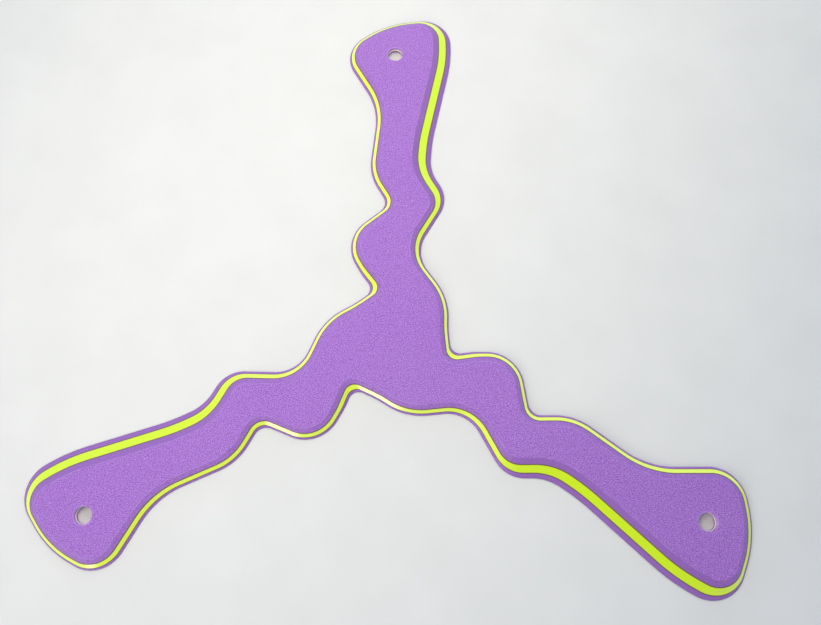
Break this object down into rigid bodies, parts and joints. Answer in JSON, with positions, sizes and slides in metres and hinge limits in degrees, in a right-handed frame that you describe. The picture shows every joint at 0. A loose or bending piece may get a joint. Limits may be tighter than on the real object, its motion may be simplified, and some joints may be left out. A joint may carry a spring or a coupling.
{
  "type": "boomerang",
  "caption": "Flat three-bladed throwing boomerang with wavy blades, flared tips, bevelled edges that show a bright middle layer, and a hole in each tip.",
  "frame": {"origin": "on the flat underside, at the middle of the three blades", "axes": "+Z out of the bevelled top face, +Y along the first blade, the other two blades at 120 degrees to it; the blades spin anticlockwise seen from +Z"},
  "size_m": [0.2679, 0.2422, 0.003],
  "materials": {
    "purple_plastic": "fine grained matt face, smoother where the bevel is cut",
    "lime_plastic": "bright, smooth, slightly glossy where the bevel cuts it"
  },
  "bodies": {
    "root": {"top_ply": "purple_plastic", "core_ply": "lime_plastic", "bottom_ply": "purple_plastic"}
  },
  "joints": []
}
